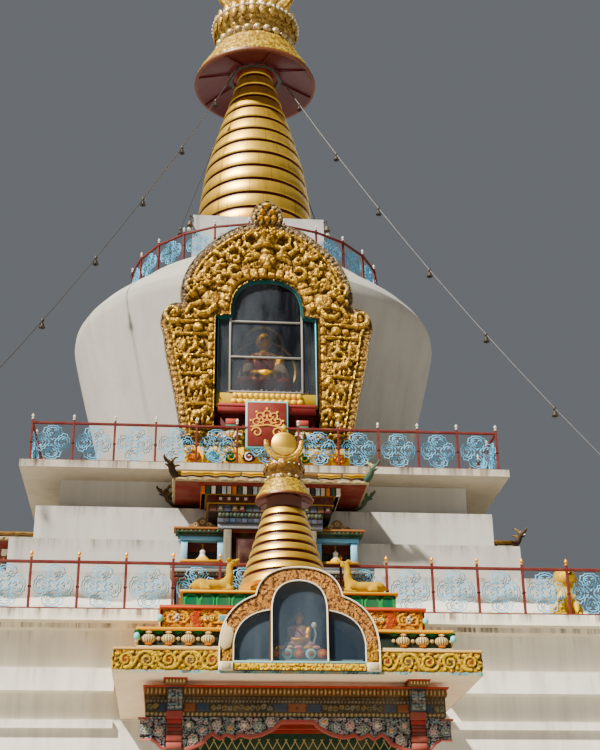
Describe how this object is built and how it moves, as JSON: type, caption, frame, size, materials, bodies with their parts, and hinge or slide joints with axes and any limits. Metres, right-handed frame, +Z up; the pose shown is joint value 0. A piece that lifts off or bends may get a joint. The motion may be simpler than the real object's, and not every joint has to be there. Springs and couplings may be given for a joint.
{
  "type": "stupa",
  "caption": "White stupa with pillared porches, railed square terraces, a flaring vase with a gilded niche and a ringed golden spire under a canopy.",
  "frame": {"origin": "centre of the footprint at ground level", "axes": "+Z up, -Y is the front with the porch in view, +X to the right as seen from the front"},
  "size_m": [30, 30, 34.1],
  "materials": {
    "plaster": "lime-washed plaster with rain stains",
    "stonework": "dressed stone and cement",
    "painted_wood": "carved and painted in many colours",
    "gilded_carving": "carved relief with worn gilding",
    "gilded_copper": "beaten and gilded sheet",
    "painted_iron": "satin maroon paint",
    "window_glass": "clear pane with dust",
    "steel_cable": "weathered wire"
  },
  "bodies": {
    "root": {"base_platform": "stonework", "ground_corner_wall_front_left": "plaster", "ground_corner_wall_front_right": "plaster", "ground_corner_wall_back_right": "plaster", "ground_corner_wall_back_left": "plaster", "over_door_wall_front": "plaster", "over_door_wall_right": "plaster", "over_door_wall_back": "plaster", "over_door_wall_left": "plaster", "lower_terrace": "plaster", "upper_storey": "plaster", "upper_terrace": "plaster", "vase": "plaster", "harmika": "plaster", "porch_front": "painted_wood", "porch_right": "painted_wood", "porch_back": "painted_wood", "porch_left": "painted_wood", "upper_doorway_front": "painted_wood", "upper_doorway_right": "painted_wood", "upper_doorway_back": "painted_wood", "upper_doorway_left": "painted_wood", "upper_canopy_front": "painted_wood", "upper_canopy_right": "painted_wood", "upper_canopy_back": "painted_wood", "upper_canopy_left": "painted_wood", "porch_niche_front": "painted_wood", "porch_niche_right": "painted_wood", "porch_niche_back": "painted_wood", "porch_niche_left": "painted_wood", "vase_niche": "gilded_carving", "porch_spire_front": "gilded_copper", "porch_spire_right": "gilded_copper", "porch_spire_back": "gilded_copper", "porch_spire_left": "gilded_copper", "spire": "gilded_copper", "umbrella": "gilded_copper", "crown": "gilded_copper", "lower_rail_lefthand_front": "painted_iron", "lower_rail_lefthand_right": "painted_iron", "lower_rail_lefthand_back": "painted_iron", "lower_rail_lefthand_left": "painted_iron", "lower_rail_righthand_front": "painted_iron", "lower_rail_righthand_right": "painted_iron", "lower_rail_righthand_back": "painted_iron", "lower_rail_righthand_left": "painted_iron", "upper_rail_front": "painted_iron", "upper_rail_right": "painted_iron", "upper_rail_back": "painted_iron", "upper_rail_left": "painted_iron", "ring_rail": "painted_iron", "stay_cables": "steel_cable"}
  },
  "joints": []
}
